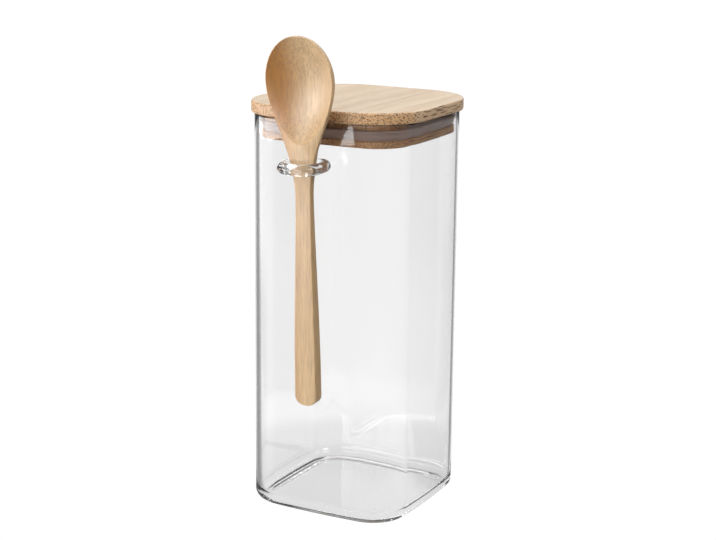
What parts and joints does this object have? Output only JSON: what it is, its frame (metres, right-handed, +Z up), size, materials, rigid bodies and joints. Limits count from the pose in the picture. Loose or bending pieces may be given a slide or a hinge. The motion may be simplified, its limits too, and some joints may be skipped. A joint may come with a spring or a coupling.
{
  "type": "storage jar with lid and spoon",
  "caption": "Tall rounded-square clear glass jar with a sealed wooden lid, and a wooden spoon that hangs in a glass ring on the front wall.",
  "frame": {"origin": "centre of the jar's flat base, on the surface it stands on", "axes": "+Z up along the jar, -Y out of the front wall that carries the ring and the spoon, +X to the right of a person who faces that front wall"},
  "size_m": [0.107, 0.1304, 0.277],
  "materials": {
    "jar_glass": "clear polished glass",
    "loop_glass": "clear polished glass rod",
    "board_bamboo": "pale bamboo strips glued side by side, sanded, clear matt oil",
    "plug_bamboo": "darker bamboo, sanded",
    "seal_silicone": "translucent silicone, satin",
    "spoon_bamboo": "warm bamboo with fine straight grain, oiled"
  },
  "bodies": {
    "jar": {"jar_body": "jar_glass", "spoon_loop": "loop_glass"},
    "lid": {"lid_board": "board_bamboo", "lid_plug": "plug_bamboo", "lid_seal": "seal_silicone"},
    "spoon": {"spoon": "spoon_bamboo"}
  },
  "joints": [
    {"name": "lid_lift", "type": "slide", "parent": "jar", "child": "lid", "axis": [0, 0, 1], "range_m": [0, 0.05]},
    {"name": "spoon_draw", "type": "slide", "parent": "jar", "child": "spoon", "axis": [0, -0.0436, 0.999], "range_m": [0, 0.15]}
  ]
}
